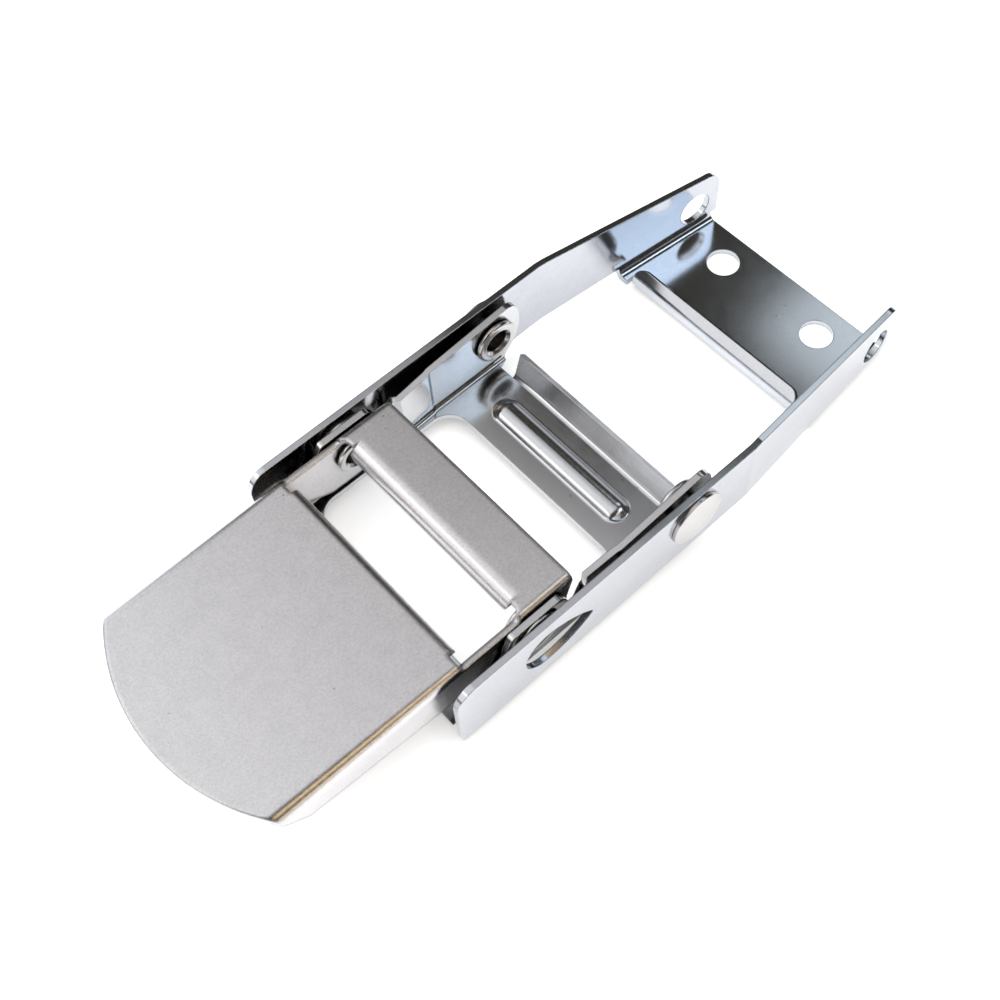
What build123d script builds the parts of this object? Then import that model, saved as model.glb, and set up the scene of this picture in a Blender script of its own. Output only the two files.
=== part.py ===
from build123d import *
import math
import os

os.makedirs("parts", exist_ok=True)

# The origin lies midway between the two strap holes, on the underside of the base plate.
# X runs along the buckle from the thumb end to the base end, Y across it and Z up.

# Sheet shared by the three stampings.
sheet = 1.3

# Pivots, seen from the side.
link_pivot_x = -52.95
link_pivot_z = 12.6
pivot_spacing = 36.0
lever_pivot_z = 13.2

# Frame: two side rails and a base plate.
rail_side_gap = 1.2
rail_taper = 4.75
rail_start_reach = 20.25
rail_taper_reach = 14.75
rail_slope_run = 2.0
rail_slope_end_x = 4.8
rail_end_x = 8.3
rail_top = 19.2
rail_end_top = 14.7
rail_foot = 2.9
rail_start_foot = 1.8
rail_start_round = 4.2
rail_foot_round = 0.9
rail_end_round = 3.3
plate_start_x = -17.9
plate_end_x = 6.9
base_bend = 1.5
base_lip_inset = 6.05
base_lip_bend = 1.3
base_lip_lean = 135.0
base_lip_run = 1.8
base_lip_round = 2.2
relief_width = 1.5
relief_depth = 3.4
strap_hole_radius = 3.45
strap_hole_spacing = 25.7
end_hole_radius = 3.75
end_hole_x = 2.1
end_hole_z = 7.3
access_radius = 5.1
access_z = 10.9
access_tip_reach = 11.0
access_tip_z = 10.1
access_lean = 12.0
access_tip_round = 0.5

# Lever: thumb plate, webbing window, bar and two ears. Reaches run from its pivot.
lever_outer_y = 25.0
lever_top = 19.1
lever_bend = 0.3
thumb_bend = 1.5
thumb_apex_reach = 61.65
thumb_corner_reach = 53.25
thumb_flange_start_depth = 7.0
thumb_flange_depth = 10.1
thumb_flange_slant = 4.6
thumb_roll = 1.7
thumb_roll_drop = 0.3
bar_front_reach = 2.3
bar_rear_reach = 9.7
bar_roll = 3.0
bar_roll_drop = 0.2
bar_corner_round = 1.6
bar_rear_depth = 1.8
window_start_reach = 15.45
window_strip_round = 0.8
strip_end_run = 0.1
relief_run = 1.0
relief_round = 1.5
lever_ear_radius = 8.3
lever_ear_drop_reach = 14.05
lever_ear_slope_reach = 6.25
lever_ear_slope_z = 5.1
lever_relief = 2.5

# Link: two upright flanges on a bottom plate. Front reaches run from the lever's
# pivot and rear ones from the link's own.
link_side_gap = 0.35
link_bottom = 3.0
link_bend = 0.8
link_neck_reach = 11.35
link_neck_run = 1.0
link_neck_inset = 0.85
link_joggle_reach = 16.65
link_joggle_run = 0.8
link_joggle_inset = 0.5
link_front_inset = 0.3
link_start_reach = 20.05
link_ear_foot_reach = 12.55
link_window_start_reach = 11.55
link_nose_radius = 7.5
link_ear_top = 18.4
link_notch_z = 12.0
link_notch_run = 1.8966
link_notch_round = 0.7
link_notch_lean = 1.65
link_top_start = 15.9
link_top_start_round = 1.4
link_top_end = 18.7
link_end_radius = 9.9
link_end_reach = 3.0
link_end_z = 13.4
link_end_foot_reach = 1.05
link_end_drop_reach = 3.2
link_end_round = 2.6
link_ear_round = 1.2
link_window_end_reach = 13.2
link_window_inset = 1.95
link_window_round = 4.7
rib_reach = 6.0
rib_width = 5.6
rib_inset = 7.75
rib_height = 1.3
rib_foot_round = 0.8
link_lip_inset = 3.95
link_lip_foot_inset = 5.55
link_lip_foot_reach = 0.15
link_lip_lean = 54.0
link_lip_bend = 1.2
link_lip_run = 3.9

# Rivets: closed head outside, hollow rolled end inside.
shank_radius = 3.3
bore_radius = 2.5
link_roll_radius = 4.7
lever_roll_radius = 4.2
roll_depth = 1.25
bore_floor = 1.3
bore_chamfer = 0.6
pin_clearance = 0.06
seat_clearance = 0.03
face_gap = 0.06
roll_gap = 0.15
link_head_radius = 5.9
link_head_rim = 0.7
link_head_dome = 1.1
lever_head_radius = 5.1
lever_head_rim = 0.45
lever_head_dome = 0.35

# How close an edge has to be to a height to be picked at it.
near_enough = 0.01

# Places along the buckle that follow from the reaches.
lever_pivot_x = link_pivot_x - pivot_spacing
thumb_apex_x = lever_pivot_x - thumb_apex_reach
thumb_corner_x = lever_pivot_x - thumb_corner_reach
window_start_x = lever_pivot_x - window_start_reach
bar_front_x = lever_pivot_x - bar_front_reach
bar_rear_x = lever_pivot_x + bar_rear_reach
rail_start_x = lever_pivot_x - rail_start_reach
rail_taper_x = link_pivot_x + rail_taper_reach
link_start_x = lever_pivot_x - link_start_reach
link_joggle_x = link_pivot_x - link_joggle_reach
link_end_x = link_pivot_x - link_end_reach
link_lip_foot_x = link_pivot_x + link_lip_foot_reach
rib_x = link_pivot_x - rib_reach

# Places across the buckle, from the lever out to the rails.
lever_inner_y = lever_outer_y - sheet
link_inner_y = lever_outer_y + link_side_gap
link_outer_y = link_inner_y + sheet
link_front_inner_y = link_inner_y - link_front_inset
rail_inner_y = link_outer_y + rail_side_gap
rail_outer_y = rail_inner_y + sheet
rail_end_y = rail_outer_y - rail_taper
base_lip_half_y = rail_inner_y - base_lip_inset
rib_half_y = link_inner_y - rib_inset
link_lip_half_y = link_inner_y - link_lip_inset

link_plate_top = link_bottom + sheet


def lip_sketch(foot_x, low, way, lean, bend, run):
    """Draw, from the side, a lip bent up from the edge of a flat plate.

    The plate stops at foot_x with its underside at low. The lip heads along X
    in the sense of way, bends up by lean degrees and ends in a straight run.
    """
    turn = math.radians(lean)
    centre_z = low + sheet + bend

    def on_bend(radius, angle):
        return (foot_x + way * radius * math.sin(angle), centre_z - radius * math.cos(angle))

    def past_bend(radius):
        x, z = on_bend(radius, turn)
        return (x + way * run * math.cos(turn), z + run * math.sin(turn))

    outer = bend + sheet
    with BuildSketch(Plane.XZ) as lip:
        with BuildLine():
            ThreePointArc((foot_x, low), on_bend(outer, turn / 2), on_bend(outer, turn))
            Polyline(
                on_bend(outer, turn),
                past_bend(outer),
                past_bend(bend),
                on_bend(bend, turn),
            )
            ThreePointArc(
                on_bend(bend, turn),
                on_bend(bend, turn / 2),
                (foot_x, low + sheet),
            )
            Line((foot_x, low + sheet), (foot_x, low))
        make_face()
    return lip.sketch


def lever_section(x, half_y, high, radius):
    """Draw across the buckle, at x, a box with its two upper corners rounded."""
    low = lever_pivot_z - lever_ear_radius
    with BuildSketch(Plane.YZ.offset(x)) as section:
        with Locations((0, (low + high) / 2)):
            Rectangle(2 * half_y, high - low)
        fillet(section.vertices().group_by(Axis.Y)[-1], radius)
    return section.sketch


def link_section(x, outer_y):
    """Draw the outside of the link's trough across the buckle at x."""
    with BuildSketch(Plane.YZ.offset(x)) as section:
        with Locations((0, (link_bottom + rail_top) / 2)):
            Rectangle(2 * outer_y, rail_top - link_bottom)
        fillet(section.vertices().group_by(Axis.Y)[0], link_bend + sheet)
    return section.sketch


def link_hollow(x, outer_y):
    """Draw the inside of the same trough at x."""
    with BuildSketch(Plane.YZ.offset(x)) as section:
        with Locations((0, (link_plate_top + rail_top + sheet) / 2)):
            Rectangle(2 * (outer_y - sheet), rail_top + sheet - link_plate_top)
        fillet(section.vertices().group_by(Axis.Y)[0], link_bend)
    return section.sketch


def ridge(x, half_y, half_width, height, low):
    """Build a ridge across the buckle, with an arc for section and round ends.

    Its flat base lies at low, and half_y runs to the outside of the ends.
    """
    radius = (half_width**2 + height**2) / (2 * height)
    turn = math.asin(half_width / radius) / 2
    flank_z = low + height - radius * (1 - math.cos(turn))
    straight_y = half_y - half_width
    with BuildPart() as pressed:
        with BuildSketch(Plane.XZ):
            with BuildLine():
                ThreePointArc((x - half_width, low), (x, low + height), (x + half_width, low))
                Line((x + half_width, low), (x - half_width, low))
            make_face()
        extrude(amount=straight_y, both=True)
        for end_y in (straight_y, -straight_y):
            with BuildSketch(Plane.XZ.offset(-end_y)):
                with BuildLine():
                    ThreePointArc(
                        (x, low + height),
                        (x + radius * math.sin(turn), flank_z),
                        (x + half_width, low),
                    )
                    Polyline((x + half_width, low), (x, low), (x, low + height))
                make_face()
            revolve(axis=Axis((x, end_y, 0), (0, 0, 1)))
    return pressed.part


def rivet(x, z, side, grip_out, grip_in, head_radius, rim, dome, roll_radius):
    """Revolve one hollow rivet about the pivot line at x and z.

    The two grip values are where the head and the rolled end seat, measured
    along Y from the middle of the buckle, and side is 1 for the far rail.
    """
    head_seat = grip_out + face_gap
    roll_seat = grip_in - roll_gap
    roll_mid = roll_seat - roll_depth / 2
    head_top = head_seat + rim + dome
    dome_radius = (head_radius**2 + dome**2) / (2 * dome)
    dome_half = dome - dome_radius + math.sqrt(dome_radius**2 - (head_radius / 2) ** 2)
    with BuildPart() as pin:
        with BuildSketch(Plane.YZ.offset(x)):
            with BuildLine():
                Polyline(
                    (roll_seat - roll_depth, z + bore_radius + bore_chamfer),
                    (roll_seat - roll_depth + bore_chamfer, z + bore_radius),
                    (head_seat - bore_floor, z + bore_radius),
                    (head_seat - bore_floor, z),
                    (head_top, z),
                )
                ThreePointArc(
                    (head_top, z),
                    (head_seat + rim + dome_half, z + head_radius / 2),
                    (head_seat + rim, z + head_radius),
                )
                Polyline(
                    (head_seat + rim, z + head_radius),
                    (head_seat, z + head_radius),
                    (head_seat, z + shank_radius),
                    (roll_seat, z + shank_radius),
                    (roll_seat, z + roll_radius - roll_depth / 2),
                )
                ThreePointArc(
                    (roll_seat, z + roll_radius - roll_depth / 2),
                    (roll_mid, z + roll_radius),
                    (roll_seat - roll_depth, z + roll_radius - roll_depth / 2),
                )
                Line(
                    (roll_seat - roll_depth, z + roll_radius - roll_depth / 2),
                    (roll_seat - roll_depth, z + bore_radius + bore_chamfer),
                )
            make_face()
        revolve(axis=Axis((x, 0, z), (0, 1, 0)))
    if side < 0:
        return mirror(pin.part, about=Plane.XZ)
    return pin.part


# Frame.
with BuildPart() as frame:
    with BuildSketch():
        with BuildLine():
            Polyline(
                (rail_start_x, rail_outer_y),
                (rail_taper_x, rail_outer_y),
                (rail_end_x, rail_end_y),
                (rail_end_x, rail_end_y - sheet),
                (rail_taper_x, rail_inner_y),
                (rail_start_x, rail_inner_y),
                close=True,
            )
        make_face()
        mirror(about=Plane.XZ)
    extrude(amount=rail_top)
    # The rails step down to the plate only where the plate is bent from them.
    with BuildSketch(Plane.XZ) as rail_side:
        with BuildLine():
            Polyline(
                (rail_start_x, rail_start_foot),
                (plate_start_x, rail_foot),
                (plate_start_x, 0),
                (plate_end_x, 0),
                (plate_end_x, rail_foot),
                (rail_end_x, rail_foot),
                (rail_end_x, rail_end_top),
                (rail_slope_end_x, rail_end_top),
                (rail_taper_x + rail_slope_run, rail_top),
                (rail_start_x, rail_top),
                close=True,
            )
        make_face()
        start_corners = rail_side.vertices().group_by(Axis.X)[0].sort_by(Axis.Y)
        fillet(start_corners[-1], rail_start_round)
        start_corners = rail_side.vertices().group_by(Axis.X)[0].sort_by(Axis.Y)
        fillet(start_corners[0], rail_foot_round)
        end_corners = rail_side.vertices().group_by(Axis.X)[-1].sort_by(Axis.Y)
        fillet(end_corners[-1], rail_end_round)
    extrude(amount=rail_outer_y, both=True, mode=Mode.INTERSECT)
    plate_slope = (rail_outer_y - rail_end_y) / (rail_end_x - rail_taper_x)
    plate_start_y = rail_inner_y - plate_slope * (plate_start_x - rail_taper_x)
    plate_end_y = rail_inner_y - plate_slope * (plate_end_x - rail_taper_x)
    with BuildSketch():
        Polygon(
            (plate_start_x, plate_start_y),
            (plate_start_x, -plate_start_y),
            (plate_end_x, -plate_end_y),
            (plate_end_x, plate_end_y),
            align=None,
        )
    extrude(amount=sheet)
    inner_bends = frame.edges().filter_by_position(
        Axis.Z, sheet - near_enough, sheet + near_enough
    )
    fillet([inner_bends.sort_by(Axis.Y)[0], inner_bends.sort_by(Axis.Y)[-1]], base_bend)
    outer_bends = frame.edges().filter_by_position(Axis.Z, -near_enough, near_enough)
    fillet(
        [outer_bends.sort_by(Axis.Y)[0], outer_bends.sort_by(Axis.Y)[-1]],
        base_bend + sheet,
    )
    # Relief notches either side of the curled lip.
    with BuildSketch():
        with Locations(
            (plate_start_x, base_lip_half_y + relief_width / 2),
            (plate_start_x, -base_lip_half_y - relief_width / 2),
        ):
            Rectangle(2 * relief_depth, relief_width)
    extrude(amount=sheet + base_bend, mode=Mode.SUBTRACT)
    # The lip curls up and back over the plate.
    lip_foot_x = plate_start_x + base_lip_bend + sheet
    with BuildSketch():
        with Locations(((plate_start_x + lip_foot_x) / 2, 0)):
            Rectangle(lip_foot_x - plate_start_x, 2 * base_lip_half_y)
    extrude(amount=sheet, mode=Mode.SUBTRACT)
    base_lip = lip_sketch(lip_foot_x, 0, -1, base_lip_lean, base_lip_bend, base_lip_run)
    extrude(base_lip, amount=base_lip_half_y, both=True)
    lip_ends = (
        frame.edges()
        .filter_by(lambda e: abs(abs(e.center().Y) - base_lip_half_y) < near_enough)
        .filter_by(lambda e: plate_start_x < e.center().X < plate_end_x)
        .group_by(Axis.Z)[-1]
    )
    fillet(lip_ends, base_lip_round)
    with BuildSketch():
        with Locations((0, strap_hole_spacing / 2), (0, -strap_hole_spacing / 2)):
            Circle(strap_hole_radius)
    extrude(amount=sheet, mode=Mode.SUBTRACT)
    # Holes across both rails.
    with BuildSketch(Plane.XZ):
        with Locations((end_hole_x, end_hole_z)):
            Circle(end_hole_radius)
        with Locations((link_pivot_x, link_pivot_z)):
            Circle(shank_radius + seat_clearance)
    extrude(amount=rail_outer_y, both=True, mode=Mode.SUBTRACT)
    # Drop-shaped hole in each rail, beside the lever's rivet.
    lean = math.radians(access_lean)
    access_tip = (lever_pivot_x + access_tip_reach, access_tip_z)
    access_low = (lever_pivot_x, access_z - access_radius)
    access_turn = (
        lever_pivot_x + access_radius * math.sin(lean),
        access_z + access_radius * math.cos(lean),
    )
    with BuildSketch(Plane.XZ) as access:
        with BuildLine():
            ThreePointArc(
                access_low,
                (
                    lever_pivot_x - access_radius * math.cos(lean / 2),
                    access_z + access_radius * math.sin(lean / 2),
                ),
                access_turn,
            )
            TangentArc(access_turn, access_tip, tangent=(math.cos(lean), -math.sin(lean)))
            TangentArc(access_low, access_tip, tangent=(1, 0))
        make_face()
        fillet(access.vertices().group_by(Axis.X)[-1], access_tip_round)
    extrude(amount=rail_outer_y, both=True, mode=Mode.SUBTRACT)
frame.part.label = "frame"
export_step(frame.part, "parts/frame.step")

# Rolled front of the lever's bar, with its two lower corners rounded.
strip_top = lever_top - sheet
roll_start_x = bar_front_x + bar_roll
roll_half_y = lever_inner_y - lever_relief
bar_roll_z = lever_top - bar_roll
bar_low = bar_roll_z - bar_roll_drop
with BuildPart() as bar_front:
    with BuildSketch(Plane.XZ):
        with BuildLine():
            Line((roll_start_x, lever_top), (roll_start_x, strip_top))
            RadiusArc(
                (roll_start_x, strip_top),
                (bar_front_x + sheet, bar_roll_z),
                -(bar_roll - sheet),
            )
            Polyline(
                (bar_front_x + sheet, bar_roll_z),
                (bar_front_x + sheet, bar_low),
                (bar_front_x, bar_low),
                (bar_front_x, bar_roll_z),
            )
            RadiusArc((bar_front_x, bar_roll_z), (roll_start_x, lever_top), bar_roll)
        make_face()
    extrude(amount=roll_half_y, both=True)
    with BuildSketch(Plane.YZ.offset(bar_front_x)) as front_view:
        with Locations((0, (bar_low + lever_top) / 2)):
            Rectangle(2 * roll_half_y, lever_top - bar_low)
        fillet(front_view.vertices().group_by(Axis.Y)[0], bar_corner_round)
    extrude(amount=bar_roll, mode=Mode.INTERSECT)

# Lever.
with BuildPart() as lever:
    lever_low = lever_pivot_z - lever_ear_radius
    # The bends down the sides tighten from the thumb end to the window.
    loft(
        [
            lever_section(thumb_apex_x, lever_outer_y, lever_top, thumb_bend + sheet),
            lever_section(window_start_x, lever_outer_y, lever_top, lever_bend + sheet),
        ],
        ruled=True,
    )
    extrude(
        lever_section(window_start_x, lever_outer_y, lever_top, lever_bend + sheet),
        amount=bar_rear_x - window_start_x,
    )
    loft(
        [
            lever_section(thumb_apex_x, lever_inner_y, strip_top, thumb_bend),
            lever_section(window_start_x, lever_inner_y, strip_top, lever_bend),
        ],
        ruled=True,
        mode=Mode.SUBTRACT,
    )
    extrude(
        lever_section(window_start_x, lever_inner_y, strip_top, lever_bend),
        amount=bar_rear_x - window_start_x,
        mode=Mode.SUBTRACT,
    )
    # Arc end of the thumb plate, seen from above.
    with BuildSketch():
        with BuildLine():
            ThreePointArc(
                (thumb_corner_x, lever_outer_y),
                (thumb_apex_x, 0),
                (thumb_corner_x, -lever_outer_y),
            )
            Polyline(
                (thumb_corner_x, -lever_outer_y),
                (bar_rear_x, -lever_outer_y),
                (bar_rear_x, lever_outer_y),
                (thumb_corner_x, lever_outer_y),
            )
        make_face()
    extrude(amount=lever_top, mode=Mode.INTERSECT)
    # Side outline: shallow beside the thumb plate, then down to the ears.
    thumb_low = lever_top - thumb_flange_depth
    start_low = lever_top - thumb_flange_start_depth
    with BuildSketch(Plane.XZ):
        Polygon(
            (thumb_apex_x, lever_top),
            (thumb_apex_x, strip_top),
            (thumb_corner_x, strip_top - sheet),
            (thumb_corner_x + thumb_flange_slant, start_low),
            (rail_start_x, thumb_low),
            (lever_pivot_x - lever_ear_drop_reach, thumb_low),
            (lever_pivot_x - lever_ear_slope_reach, lever_ear_slope_z),
            (lever_pivot_x, lever_low),
            (lever_pivot_x, lever_pivot_z),
            (lever_pivot_x + lever_ear_radius, lever_pivot_z),
            (bar_rear_x, lever_top - bar_rear_depth),
            (bar_rear_x, lever_top),
            align=None,
        )
        with Locations((lever_pivot_x, lever_pivot_z)):
            Circle(lever_ear_radius)
    extrude(amount=lever_outer_y, both=True, mode=Mode.INTERSECT)
    # Webbing window, cut through the bends so that each flange keeps a flat top edge.
    strip_end_x = bar_front_x + strip_end_run
    with BuildSketch(Plane.XZ) as window_side:
        with Locations(((window_start_x + strip_end_x) / 2, strip_top + sheet)):
            Rectangle(strip_end_x - window_start_x, 2 * sheet)
        fillet(window_side.vertices().group_by(Axis.Y)[0], window_strip_round)
    extrude(amount=lever_outer_y, both=True, mode=Mode.SUBTRACT)
    # It runs on into round reliefs either side of the bar's front, and behind the roll.
    relief_x = bar_front_x + relief_run
    with BuildSketch(Plane.XY.offset(strip_top - sheet)) as window:
        with Locations(((window_start_x + relief_x) / 2, 0)):
            Rectangle(relief_x - window_start_x, 2 * lever_inner_y)
        fillet(window.vertices().group_by(Axis.X)[-1], relief_round)
        with Locations(((window_start_x + roll_start_x) / 2, 0)):
            Rectangle(roll_start_x - window_start_x, 2 * roll_half_y)
    extrude(amount=3 * sheet, mode=Mode.SUBTRACT)
    with BuildSketch(Plane.XZ):
        with Locations((lever_pivot_x, lever_pivot_z)):
            Circle(shank_radius + pin_clearance)
    extrude(amount=lever_outer_y, both=True, mode=Mode.SUBTRACT)
    # Turned-down front of the thumb plate.
    thumb_roll_z = lever_top - thumb_roll
    with BuildSketch(Plane.XZ):
        with BuildLine():
            Line((window_start_x, lever_top), (window_start_x, strip_top))
            RadiusArc(
                (window_start_x, strip_top),
                (window_start_x + thumb_roll - sheet, thumb_roll_z),
                thumb_roll - sheet,
            )
            Polyline(
                (window_start_x + thumb_roll - sheet, thumb_roll_z),
                (window_start_x + thumb_roll - sheet, thumb_roll_z - thumb_roll_drop),
                (window_start_x + thumb_roll, thumb_roll_z - thumb_roll_drop),
                (window_start_x + thumb_roll, thumb_roll_z),
            )
            RadiusArc(
                (window_start_x + thumb_roll, thumb_roll_z),
                (window_start_x, lever_top),
                -thumb_roll,
            )
        make_face()
    extrude(amount=roll_half_y, both=True)
    add(bar_front.part)
lever.part.label = "lever"
export_step(lever.part, "parts/lever.step")

# Stiffening rib of the link, and the hollow that pressing it up leaves below.
rib_half_width = rib_width / 2
rib_radius = (rib_half_width**2 + rib_height**2) / (2 * rib_height)
hollow_radius = rib_radius - sheet
hollow_half_width = math.sqrt(hollow_radius**2 - (hollow_radius - rib_height) ** 2)
hollow_half_y = rib_half_y - rib_half_width + hollow_half_width
rib = ridge(rib_x, rib_half_y, rib_half_width, rib_height, link_plate_top)
rib_hollow = ridge(rib_x, hollow_half_y, hollow_half_width, rib_height, link_bottom)

# Link.
with BuildPart() as link:
    link_far_x = link_end_x + link_end_radius
    neck_x = lever_pivot_x + link_neck_reach
    # The flanges stand wide beside the lever, narrow past its bar and widen again in front.
    link_run = [
        (link_start_x, link_outer_y),
        (neck_x, link_outer_y),
        (neck_x + link_neck_run, link_outer_y - link_neck_inset),
        (link_joggle_x, link_outer_y - link_joggle_inset),
        (link_joggle_x + link_joggle_run, link_outer_y - link_front_inset),
        (link_far_x, link_outer_y - link_front_inset),
    ]
    loft([link_section(x, y) for x, y in link_run], ruled=True)
    loft([link_hollow(x, y) for x, y in link_run], ruled=True, mode=Mode.SUBTRACT)
    # Side outline of the flanges, with an ear at each end.
    nose_x = lever_pivot_x - link_nose_radius
    ear_half = math.sqrt(link_nose_radius**2 - (link_ear_top - lever_pivot_z) ** 2)
    nose_turn = math.atan2(link_ear_top - lever_pivot_z, -ear_half) / 2 + math.pi / 2
    notch_half = math.sqrt(link_nose_radius**2 - (lever_pivot_z - link_notch_z) ** 2)
    link_notch_x = lever_pivot_x + notch_half + link_notch_run
    link_top_x = link_notch_x + link_notch_lean
    end_top_x = link_end_x + math.sqrt(link_end_radius**2 - (link_top_end - link_end_z) ** 2)
    link_drop_x = link_pivot_x + link_end_drop_reach
    link_drop_z = link_end_z - math.sqrt(link_end_radius**2 - (link_drop_x - link_end_x) ** 2)
    link_foot_x = link_pivot_x + link_end_foot_reach
    with BuildSketch(Plane.XZ) as link_side:
        with BuildLine():
            Polyline(
                (link_foot_x, link_bottom),
                (link_start_x, link_bottom),
                (link_start_x, link_plate_top),
                (lever_pivot_x - link_ear_foot_reach, link_plate_top),
                (nose_x, lever_pivot_z),
            )
            ThreePointArc(
                (nose_x, lever_pivot_z),
                (
                    lever_pivot_x + link_nose_radius * math.cos(nose_turn),
                    lever_pivot_z + link_nose_radius * math.sin(nose_turn),
                ),
                (lever_pivot_x - ear_half, link_ear_top),
            )
            Line((lever_pivot_x - ear_half, link_ear_top), (lever_pivot_x + ear_half, link_ear_top))
            ThreePointArc(
                (lever_pivot_x + ear_half, link_ear_top),
                (lever_pivot_x + link_nose_radius, lever_pivot_z),
                (lever_pivot_x + notch_half, link_notch_z),
            )
            Polyline(
                (lever_pivot_x + notch_half, link_notch_z),
                (link_notch_x, link_notch_z),
                (link_top_x, link_top_start),
                (end_top_x, link_top_end),
            )
            ThreePointArc(
                (end_top_x, link_top_end),
                (link_far_x, link_end_z),
                (link_drop_x, link_drop_z),
            )
            Line((link_drop_x, link_drop_z), (link_foot_x, link_bottom))
        make_face()
        top_corner = link_side.vertices().sort_by_distance((end_top_x, link_top_end))[0]
        fillet(top_corner, link_end_round)
        start_corner = link_side.vertices().sort_by_distance((link_top_x, link_top_start))[0]
        fillet(start_corner, link_top_start_round)
        notch_corners = link_side.vertices().sort_by_distance(
            (lever_pivot_x + notch_half, link_notch_z)
        )[:2]
        fillet(notch_corners, link_notch_round)
        ear_corners = link_side.vertices().filter_by_position(
            Axis.Y, link_ear_top - near_enough, link_ear_top + near_enough
        )
        fillet(ear_corners, link_ear_round)
    extrude(amount=link_outer_y, both=True, mode=Mode.INTERSECT)
    # Window under the lever.
    link_window_start_x = lever_pivot_x - link_window_start_reach
    link_window_end_x = link_pivot_x - link_window_end_reach
    with BuildSketch(Plane.XY.offset(link_bottom)):
        with Locations(((link_window_start_x + link_window_end_x) / 2, 0)):
            RectangleRounded(
                link_window_end_x - link_window_start_x,
                2 * (link_inner_y - link_window_inset),
                link_window_round,
            )
    extrude(amount=sheet, mode=Mode.SUBTRACT)
    # The plate stops at the foot of its lip, the flanges carry on past it.
    lip_gap_y = link_front_inner_y - link_bend
    with BuildSketch(Plane.XY.offset(link_bottom)):
        with Locations(((link_lip_foot_x + link_far_x) / 2, 0)):
            Rectangle(link_far_x - link_lip_foot_x, 2 * lip_gap_y)
    extrude(amount=sheet, mode=Mode.SUBTRACT)
    link_lip = lip_sketch(
        link_lip_foot_x, link_bottom, 1, link_lip_lean, link_lip_bend, link_lip_run
    )
    extrude(link_lip, amount=link_lip_half_y, both=True)
    # The lip narrows towards its foot.
    with BuildSketch(Plane.YZ.offset(link_lip_foot_x)):
        Polygon(
            (link_lip_half_y, link_plate_top + link_lip_run),
            (link_inner_y - link_lip_foot_inset, link_bottom),
            (lip_gap_y, link_bottom),
            (lip_gap_y, link_plate_top + link_lip_run),
            align=None,
        )
        mirror(about=Plane.YZ)
    extrude(amount=link_lip_run + link_lip_bend + sheet, mode=Mode.SUBTRACT)
    # Stiffening rib, blended into the plate.
    add(rib)
    rib_foot = (
        link.edges()
        .filter_by_position(Axis.Z, link_plate_top - near_enough, link_plate_top + near_enough)
        .filter_by_position(
            Axis.X,
            rib_x - rib_half_width - near_enough,
            rib_x + rib_half_width + near_enough,
        )
        .filter_by_position(Axis.Y, -rib_half_y - near_enough, rib_half_y + near_enough)
    )
    fillet(rib_foot, rib_foot_round)
    add(rib_hollow, mode=Mode.SUBTRACT)
    with BuildSketch(Plane.XZ):
        with Locations((link_pivot_x, link_pivot_z)):
            Circle(shank_radius + pin_clearance)
        with Locations((lever_pivot_x, lever_pivot_z)):
            Circle(shank_radius + seat_clearance)
    extrude(amount=link_outer_y, both=True, mode=Mode.SUBTRACT)
link.part.label = "link"
export_step(link.part, "parts/link.step")

# Rivets, far and near.
for name, side in (("far", 1), ("near", -1)):
    link_rivet = rivet(
        link_pivot_x,
        link_pivot_z,
        side,
        rail_outer_y,
        link_front_inner_y,
        link_head_radius,
        link_head_rim,
        link_head_dome,
        link_roll_radius,
    )
    link_rivet.label = "link_rivet_" + name
    export_step(link_rivet, "parts/link_rivet_" + name + ".step")
    lever_rivet = rivet(
        lever_pivot_x,
        lever_pivot_z,
        side,
        link_outer_y,
        lever_inner_y,
        lever_head_radius,
        lever_head_rim,
        lever_head_dome,
        lever_roll_radius,
    )
    lever_rivet.label = "lever_rivet_" + name
    export_step(lever_rivet, "parts/lever_rivet_" + name + ".step")
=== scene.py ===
"""Dresses the over-centre buckle: satin stainless stampings on a white table in soft studio light."""

import logging
import math
from dataclasses import dataclass
from enum import Enum

import bpy
from mathutils import Matrix, Vector


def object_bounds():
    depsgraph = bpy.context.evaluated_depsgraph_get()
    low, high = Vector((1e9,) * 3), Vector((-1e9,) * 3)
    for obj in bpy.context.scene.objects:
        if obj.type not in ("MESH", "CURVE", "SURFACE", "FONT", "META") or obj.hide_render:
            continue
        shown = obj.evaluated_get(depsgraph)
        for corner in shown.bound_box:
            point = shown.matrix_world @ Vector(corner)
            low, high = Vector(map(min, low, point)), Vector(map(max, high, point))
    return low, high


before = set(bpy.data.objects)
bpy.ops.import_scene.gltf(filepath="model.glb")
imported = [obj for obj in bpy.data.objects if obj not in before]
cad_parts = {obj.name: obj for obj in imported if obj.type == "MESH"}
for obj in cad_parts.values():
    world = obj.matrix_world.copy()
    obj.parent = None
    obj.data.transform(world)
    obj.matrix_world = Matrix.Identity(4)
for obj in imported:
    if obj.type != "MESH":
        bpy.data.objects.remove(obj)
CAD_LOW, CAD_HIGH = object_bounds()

MM = 0.001
NOISE_MIDDLE = 0.5
LOG = logging.getLogger("buckle")

Colour = tuple[float, float, float]
Place = tuple[float, float, float]
Span = tuple[float, float]
Settings = dict[str, object]
Inputs = dict[str | int, object]


class Maths(Enum):
    """Operations of a Math node that the materials use."""

    ADD = "ADD"
    SUBTRACT = "SUBTRACT"
    MULTIPLY = "MULTIPLY"
    POWER = "POWER"
    MAXIMUM = "MAXIMUM"


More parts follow.
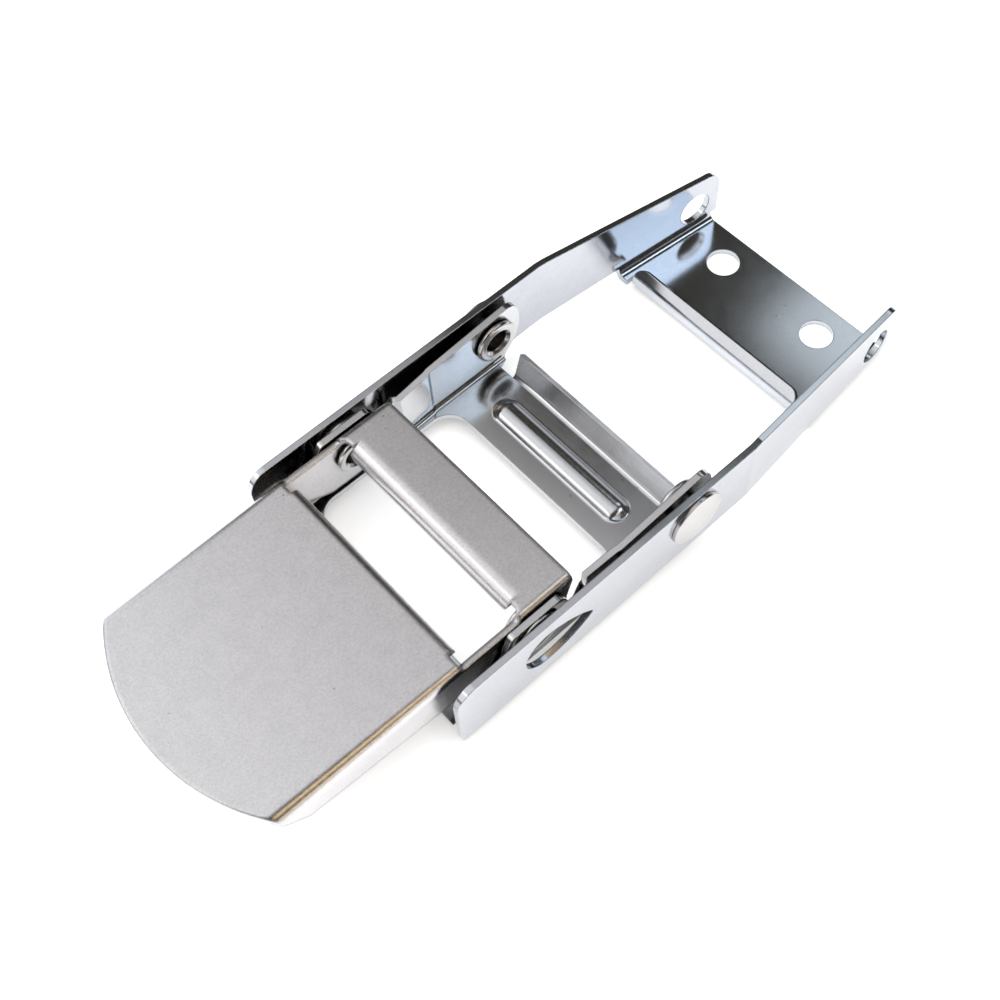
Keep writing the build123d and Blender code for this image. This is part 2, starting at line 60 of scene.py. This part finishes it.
class Finish(Enum):
    """How the surface of a piece was finished."""

    GRAINED = "grained"
    SATIN = "satin"
    TUMBLED = "tumbled"

    @property
    def grain(self) -> float:
        """Say how strongly the fine grain shows."""
        return {Finish.GRAINED: 0.13, Finish.SATIN: 0.07, Finish.TUMBLED: 0.03}[self]

    @property
    def mottling(self) -> float:
        """Say how strongly light and dark clouds show."""
        return {Finish.GRAINED: 0.09, Finish.SATIN: 0.06, Finish.TUMBLED: 0.08}[self]


class Graph:
    """A node tree, with one method that makes any node."""

    # A Mix node keeps its colour sockets behind those for numbers and vectors.
    MIX_FACTOR = 0
    MIX_LOW = 6
    MIX_HIGH = 7
    MIX_RESULT = 2

    def __init__(self, owner: bpy.types.Material | bpy.types.World) -> None:
        """Empty the owner's tree.

        Args:
            owner: The material or world whose nodes are built.
        """
        owner.use_nodes = True
        self.tree = owner.node_tree
        self.tree.nodes.clear()

    def node(
        self, kind: str, settings: Settings | None = None, inputs: Inputs | None = None
    ) -> bpy.types.Node:
        """Make a node, set it up, then fill its sockets.

        Args:
            kind: The node's type name.
            settings: Its properties by name.
            inputs: What each socket takes, by name or index: a plain value or a Value.

        Returns:
            The new node.
        """
        made = self.tree.nodes.new(kind)
        for name, setting in (settings or {}).items():
            setattr(made, name, setting)
        for name, value in (inputs or {}).items():
            if isinstance(value, Value):
                self.tree.links.new(value.socket, made.inputs[name])
            else:
                made.inputs[name].default_value = value
        return made

    def value(
        self, kind: str, output: str | int, settings: Settings | None = None, inputs: Inputs | None = None
    ) -> "Value":
        """Make a node and wrap one of its outputs."""
        return Value(self, self.node(kind, settings, inputs).outputs[output])

    def mix(self, factor: "Value | float", low: "Value | Colour", high: "Value | Colour") -> "Value":
        """Blend two colours.

        Args:
            factor: 0 gives low and 1 gives high.
            low: A colour or a colour output.
            high: A colour or a colour output.

        Returns:
            The blended colour.
        """
        inputs = {self.MIX_FACTOR: factor, self.MIX_LOW: opaque(low), self.MIX_HIGH: opaque(high)}
        return self.value("ShaderNodeMix", self.MIX_RESULT, {"data_type": "RGBA"}, inputs)


class Value:
    """A socket that can be used in a Python expression."""

    def __init__(self, graph: Graph, socket: bpy.types.NodeSocket) -> None:
        """Wrap an output socket of graph's tree."""
        self.graph = graph
        self.socket = socket

    def _apply(self, operation: Maths, first: "Value | float", second: "Value | float") -> "Value":
        """Add a Math node and return its result."""
        settings = {"operation": operation.value}
        return self.graph.value("ShaderNodeMath", "Value", settings, {0: first, 1: second})

    def __add__(self, other: "Value | float") -> "Value":
        """Add."""
        return self._apply(Maths.ADD, self, other)

    def __radd__(self, other: float) -> "Value":
        """Add, reflected."""
        return self._apply(Maths.ADD, other, self)

    def __sub__(self, other: "Value | float") -> "Value":
        """Subtract."""
        return self._apply(Maths.SUBTRACT, self, other)

    def __rsub__(self, other: float) -> "Value":
        """Subtract, reflected."""
        return self._apply(Maths.SUBTRACT, other, self)

    def __mul__(self, other: "Value | float") -> "Value":
        """Multiply."""
        return self._apply(Maths.MULTIPLY, self, other)

    def __rmul__(self, other: float) -> "Value":
        """Multiply, reflected."""
        return self._apply(Maths.MULTIPLY, other, self)

    def __pow__(self, other: "Value | float") -> "Value":
        """Raise to a power."""
        return self._apply(Maths.POWER, self, other)

    def __rpow__(self, other: float) -> "Value":
        """Raise to a power, reflected."""
        return self._apply(Maths.POWER, other, self)

    def at_least(self, low: float) -> "Value":
        """Raise what is under low to it."""
        return self._apply(Maths.MAXIMUM, self, low)

    def ramp(self, low: float, high: float) -> "Value":
        """Rise smoothly from one number to the next.

        Args:
            low: What gives 0.
            high: What gives 1.

        Returns:
            The ramp's height, 0 to 1.
        """
        settings = {"interpolation_type": "SMOOTHSTEP"}
        inputs = {"Value": self, "From Min": low, "From Max": high}
        return self.graph.value("ShaderNodeMapRange", "Result", settings, inputs)


def opaque(colour: "Value | Colour") -> "Value | tuple[float, ...]":
    """Give a plain colour its alpha, and leave a colour output as it is."""
    return colour if isinstance(colour, Value) else (*colour, 1.0)


def shaded(colour: Colour, share: float) -> Colour:
    """Darken or lighten a colour by one share."""
    return tuple(share * channel for channel in colour)


@dataclass(frozen=True)
class Noise:
    """Soft noise over the metal, 0 to 1 about its middle."""

    scale: float
    detail: float
    roughness: float = 0.6

    def build(self, graph: Graph, place: Value) -> Value:
        """Make the noise.

        Args:
            graph: The material's tree.
            place: The point on the metal.

        Returns:
            The noise at that point.
        """
        inputs = {
            "Vector": place,
            "Scale": self.scale,
            "Detail": self.detail,
            "Roughness": self.roughness,
        }
        return graph.value("ShaderNodeTexNoise", "Fac", inputs=inputs)


@dataclass(frozen=True)
class Specks:
    """Dark pin marks, one to a cell and only in patches."""

    colour: Colour = (0.22, 0.21, 0.20)
    strength: float = 0.75
    cell_scale: float = 260.0
    mark_edge: Span = (0.02, 0.07)
    patches: Noise = Noise(scale=90.0, detail=1.0, roughness=0.5)
    patch_edge: Span = (0.48, 0.54)

    def build(self, graph: Graph, place: Value) -> Value:
        """Scatter the marks.

        Args:
            graph: The material's tree.
            place: The point on the metal.

        Returns:
            The strength on a mark and 0 elsewhere.
        """
        inputs = {"Vector": place, "Scale": self.cell_scale, "Randomness": 1.0}
        distance = graph.value("ShaderNodeTexVoronoi", "Distance", inputs=inputs)
        patches = self.patches.build(graph, place)
        marks = 1.0 - distance.ramp(*self.mark_edge)
        return marks * patches.ramp(*self.patch_edge) * self.strength


@dataclass(frozen=True)
class PaintedCreviceShade:
    """Painted shade: how gaps and inner corners are darkened in the colour."""

    reach: float = 5.0 * MM
    deep_at: float = 0.12
    open_at: float = 0.42
    # The colour of the painted shade deep in a gap.
    colour: Colour = (0.07, 0.06, 0.05)
    rays: int = 6

    def build(self, graph: Graph) -> Value:
        """Measure how open each place is, as the mask of the painted shade.

        Args:
            graph: The material's tree.

        Returns:
            0 deep in a gap, where the painted shade is full, and 1 in the open.
        """
        settings = {"samples": self.rays}
        seen = graph.value("ShaderNodeAmbientOcclusion", "AO", settings, {"Distance": self.reach})
        return seen.ramp(self.deep_at, self.open_at)


@dataclass(frozen=True)
class StainlessSteel:
    """Stainless sheet: a faint grain, specks, rounded cut edges and painted shade in crevices."""

    name: str
    finish: Finish
    tint: Colour
    roughness: float
    least_roughness: float = 0.06
    dark_share: float = 0.80
    light_share: float = 1.08
    middle_shade: float = 0.75
    grain: Noise = Noise(scale=2600.0, detail=2.0)
    grain_contrast: float = 10.0
    clouds: Noise = Noise(scale=260.0, detail=4.0)
    cloud_contrast: float = 8.0
    specks: Specks = Specks()
    # Painted shade that darkens the colour in gaps and inner corners.
    painted_crevice_shade: PaintedCreviceShade = PaintedCreviceShade()
    edge_round: float = 0.28 * MM
    edge_rays: int = 6
    bump_strength: float = 0.3
    bump_depth: float = 0.1 * MM

    def build(self) -> bpy.types.Material:
        """Make the material.

        Returns:
            The finished material.
        """
        material = bpy.data.materials.new(self.name)
        graph = Graph(material)
        place = graph.value("ShaderNodeTexCoord", "Object")
        grain = self.grain.build(graph, place)
        clouds = self.clouds.build(graph, place)
        rough = self.roughness + (clouds - NOISE_MIDDLE) * self.finish.mottling
        inputs = {
            "Metallic": 1.0,
            "Base Color": self._colour(graph, place, grain, clouds),
            "Roughness": rough.at_least(self.least_roughness),
            "Normal": self._normal(graph, grain),
        }
        shader = graph.value("ShaderNodeBsdfPrincipled", "BSDF", inputs=inputs)
        graph.node("ShaderNodeOutputMaterial", inputs={"Surface": shader})
        return material

    def _colour(self, graph: Graph, place: Value, grain: Value, clouds: Value) -> Value:
        """Mottle the tint, then add the specks and the painted shade in the crevices.

        Args:
            graph: The material's tree.
            place: The point on the metal.
            grain: The fine noise.
            clouds: The coarse noise.

        Returns:
            The colour of the metal, with its painted shade.
        """
        fine = (grain - NOISE_MIDDLE) * (self.grain_contrast * self.finish.grain)
        coarse = (clouds - NOISE_MIDDLE) * (self.cloud_contrast * self.finish.mottling)
        shade = self.middle_shade + fine + coarse
        dark, light = shaded(self.tint, self.dark_share), shaded(self.tint, self.light_share)
        colour = graph.mix(shade, dark, light)
        colour = graph.mix(self.specks.build(graph, place), colour, self.specks.colour)
        # Painted shade: darken the colour where the place is closed in.
        return graph.mix(self.painted_crevice_shade.build(graph), self.painted_crevice_shade.colour, colour)

    def _normal(self, graph: Graph, grain: Value) -> Value:
        """Round the cut edges and raise the grain a little.

        Args:
            graph: The material's tree.
            grain: The fine noise.

        Returns:
            The normal of the metal.
        """
        settings = {"samples": self.edge_rays}
        rounded = graph.value("ShaderNodeBevel", "Normal", settings, {"Radius": self.edge_round})
        inputs = {
            "Strength": self.bump_strength,
            "Distance": self.bump_depth,
            "Height": grain * self.finish.grain**2,
            "Normal": rounded,
        }
        return graph.value("ShaderNodeBump", "Normal", inputs=inputs)


@dataclass(frozen=True)
class WhiteTable:
    """The plain white table that the buckle lies on."""

    half_size: float = 3.0
    colour: Colour = (0.93, 0.93, 0.935)
    roughness: float = 0.9
    shine: float = 0.1
    glow_colour: Colour = (1.0, 1.0, 1.0)
    glow: float = 0.40

    def build(self) -> bpy.types.Object:
        """Lay the table at the lowest point of the buckle.

        Returns:
            The table.
        """
        size, top = self.half_size, CAD_LOW.z
        corners = [(-size, -size, top), (size, -size, top), (size, size, top), (-size, size, top)]
        mesh = bpy.data.meshes.new("table")
        mesh.from_pydata(corners, [], [(0, 1, 2, 3)])
        mesh.materials.append(self._material())
        table = bpy.data.objects.new("table", mesh)
        bpy.context.scene.collection.objects.link(table)
        LOG.info("table")
        return table

    def _material(self) -> bpy.types.Material:
        """Make the matt white of the table, which glows a little.

        Returns:
            The finished material.
        """
        material = bpy.data.materials.new("white_table")
        graph = Graph(material)
        inputs = {
            "Base Color": opaque(self.colour),
            "Roughness": self.roughness,
            "Specular IOR Level": self.shine,
            "Emission Color": opaque(self.glow_colour),
            "Emission Strength": self.glow,
        }
        shader = graph.value("ShaderNodeBsdfPrincipled", "BSDF", inputs=inputs)
        graph.node("ShaderNodeOutputMaterial", inputs={"Surface": shader})
        return material


@dataclass(frozen=True)
class SoftBox:
    """A flat lamp that faces the buckle."""

    name: str
    place: Place
    width: float
    height: float
    radiance: float
    colour: Colour = (1.0, 1.0, 1.0)
    aim: Place = (-0.07, 0.0, 0.01)
    seen_in_metal: bool = True
    straight_down: bool = False

    def build(self) -> bpy.types.Object:
        """Hang the lamp.

        Returns:
            The lamp object.
        """
        lamp = bpy.data.lights.new(self.name, "AREA")
        lamp.shape = "RECTANGLE"
        lamp.size, lamp.size_y = self.width, self.height
        lamp.color = self.colour
        # A flat lamp's power is its radiance times pi and its area.
        lamp.energy = self.radiance * math.pi * self.width * self.height
        hung = bpy.data.objects.new(self.name, lamp)
        hung.location = self.place
        if not self.straight_down:
            away = Vector(self.place) - Vector(self.aim)
            hung.rotation_euler = away.to_track_quat("Z", "Y").to_euler()
        hung.visible_glossy = self.seen_in_metal
        bpy.context.scene.collection.objects.link(hung)
        LOG.info("lamp %s", self.name)
        return hung


@dataclass(frozen=True)
class Overhead(SoftBox):
    """A flat lamp that hangs level and shines straight down."""

    straight_down: bool = True


@dataclass(frozen=True)
class Studio:
    """Soft studio light and the dim room behind it, paler near the horizon."""

    room_colour: Colour = (0.056, 0.052, 0.043)
    horizon_colour: Colour = (0.72, 0.72, 0.72)
    horizon_height: float = 0.24
    horizon_fade: float = 2.0
    # Each row gives a name, place, width, height, radiance and colour.
    lamps: tuple[SoftBox, ...] = (
        Overhead("overhead_left", (-0.37, 0.24, 0.60), 0.55, 0.66, 1.06, (0.98, 0.985, 1.0)),
        Overhead("overhead_middle", (-0.055, 0.24, 0.60), 0.08, 0.66, 0.88, (0.98, 0.98, 1.0)),
        Overhead("overhead_right", (0.025, 0.24, 0.60), 0.08, 0.66, 0.74, (0.99, 0.98, 1.0)),
        Overhead("edge_near", (0.1185, 0.08, 0.60), 0.107, 0.32, 0.68, (1.0, 0.99, 1.0)),
        Overhead("edge_far", (0.1185, 0.39, 0.60), 0.107, 0.30, 0.52, (1.0, 0.98, 0.98)),
        Overhead("right_near", (0.212, 0.10, 0.58), 0.045, 0.20, 0.55, (0.93, 0.98, 1.0)),
        Overhead("right_far", (0.51, 0.12, 0.58), 0.32, 0.25, 1.15, (0.88, 0.96, 1.0)),
        Overhead("near_box_left", (0.115, -0.33, 0.60), 0.12, 0.22, 1.10, (0.76, 0.88, 1.0)),
        Overhead("near_box_right", (0.33, -0.33, 0.60), 0.31, 0.22, 2.90, (0.76, 0.88, 1.0)),
        SoftBox("left_window", (-0.85, 0.25, 0.50), 0.8, 0.7, 1.3, (1.0, 0.975, 0.95)),
        SoftBox("far_window", (-0.40, 0.76, 0.42), 0.8, 0.70, 1.2, (0.88, 0.94, 1.0)),
        SoftBox("warm_high", (0.00, -0.48, 0.64), 0.34, 0.20, 2.0, (1.0, 0.74, 0.44)),
        SoftBox("warm_low", (0.00, -0.80, 0.24), 0.34, 0.16, 2.2, (1.0, 0.84, 0.62)),
        Overhead("floor_fill", (-0.05, 0.05, 1.30), 2.2, 2.2, 1.6, seen_in_metal=False),
    )

    def build(self) -> None:
        """Light the room and hang every lamp."""
        self._room()
        for lamp in self.lamps:
            lamp.build()
        bpy.context.scene.view_settings.view_transform = "Standard"

    def _room(self) -> None:
        """Colour the room by how high one looks."""
        world = bpy.data.worlds.new("room")
        graph = Graph(world)
        looked = graph.value("ShaderNodeTexCoord", "Generated")
        height = graph.value("ShaderNodeSeparateXYZ", "Z", inputs={"Vector": looked})
        low = (1.0 - height.ramp(0.0, self.horizon_height)) ** self.horizon_fade
        colour = graph.mix(low, self.room_colour, self.horizon_colour)
        shader = graph.value("ShaderNodeBackground", "Background", inputs={"Color": colour})
        graph.node("ShaderNodeOutputWorld", inputs={"Surface": shader})
        bpy.context.scene.world = world
        LOG.info("room")


@dataclass(frozen=True)
class PhotoCamera:
    """The camera of the photograph, fitted to corners of the buckle."""

    place_mm: Place = (-151.238, -100.515, 230.425)
    right: Place = (0.74288, -0.66797, -0.04421)
    up: Place = (0.59844, 0.63304, 0.49104)
    focal_px: float = 1380.0
    image_px: float = 1000.0
    sensor_mm: float = 36.0
    nearest: float = 0.01
    farthest: float = 20.0

    def build(self) -> bpy.types.Object:
        """Set the camera up and make it the scene's own.

        Returns:
            The camera object.
        """
        data = bpy.data.cameras.new("photo_camera")
        data.sensor_width = self.sensor_mm
        data.lens = self.focal_px * self.sensor_mm / self.image_px
        data.clip_start, data.clip_end = self.nearest, self.farthest
        camera = bpy.data.objects.new("photo_camera", data)
        right = Vector(self.right).normalized()
        back = right.cross(Vector(self.up)).normalized()
        up = back.cross(right)
        turn = Matrix((right, up, back)).transposed().to_4x4()
        camera.matrix_world = Matrix.Translation(Vector(self.place_mm) * MM) @ turn
        bpy.context.scene.collection.objects.link(camera)
        bpy.context.scene.camera = camera
        LOG.info("camera")
        return camera


@dataclass(frozen=True)
class Piece:
    """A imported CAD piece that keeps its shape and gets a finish."""

    node: str
    steel: StainlessSteel

    def dress(self) -> bpy.types.Object:
        """Put the finish on the piece.

        Returns:
            The dressed CAD object.
        """
        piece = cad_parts[self.node]
        piece.data.materials.clear()
        piece.data.materials.append(self.steel.build())
        LOG.info("dressed %s", self.node)
        return piece


@dataclass(frozen=True)
class Frame(Piece):
    """The two rails and the base plate."""

    node: str = "frame"
    steel: StainlessSteel = StainlessSteel(
        "rail_steel", Finish.SATIN, tint=(0.52, 0.54, 0.58), roughness=0.14
    )


@dataclass(frozen=True)
class Link(Piece):
    """The swinging link with its window, rib and lip."""

    node: str = "link"
    steel: StainlessSteel = StainlessSteel(
        "link_steel",
        Finish.SATIN,
        tint=(0.58, 0.59, 0.61),
        roughness=0.17,
        # Painted shade in its gaps reaches further.
        painted_crevice_shade=PaintedCreviceShade(reach=9.0 * MM, open_at=0.66),
    )


@dataclass(frozen=True)
class Lever(Piece):
    """The lever with its thumb plate, slot and bar."""

    node: str = "lever"
    steel: StainlessSteel = StainlessSteel(
        "lever_steel",
        Finish.GRAINED,
        tint=(0.62, 0.61, 0.62),
        roughness=0.22,
        # Painted shade in its gaps reaches further still.
        painted_crevice_shade=PaintedCreviceShade(reach=14.0 * MM, open_at=0.85),
        edge_round=1.1 * MM,
    )


@dataclass(frozen=True)
class Rivets:
    """The four rivets."""

    nodes: tuple[str, ...] = (
        "link_rivet_far", "link_rivet_near", "lever_rivet_far", "lever_rivet_near"
    )
    steel: StainlessSteel = StainlessSteel(
        "rivet_steel", Finish.TUMBLED, tint=(0.55, 0.54, 0.54), roughness=0.22
    )

    def dress(self) -> None:
        """Give every rivet the same finish."""
        for node in self.nodes:
            Piece(node, self.steel).dress()


def main() -> None:
    """Dress the buckle, lay the table, set up the studio and the camera."""
    logging.basicConfig(level=logging.INFO, format="%(name)s: %(message)s")
    Frame().dress()
    Link().dress()
    Lever().dress()
    Rivets().dress()
    WhiteTable().build()
    Studio().build()
    PhotoCamera().build()


if __name__ == "__main__":
    main()
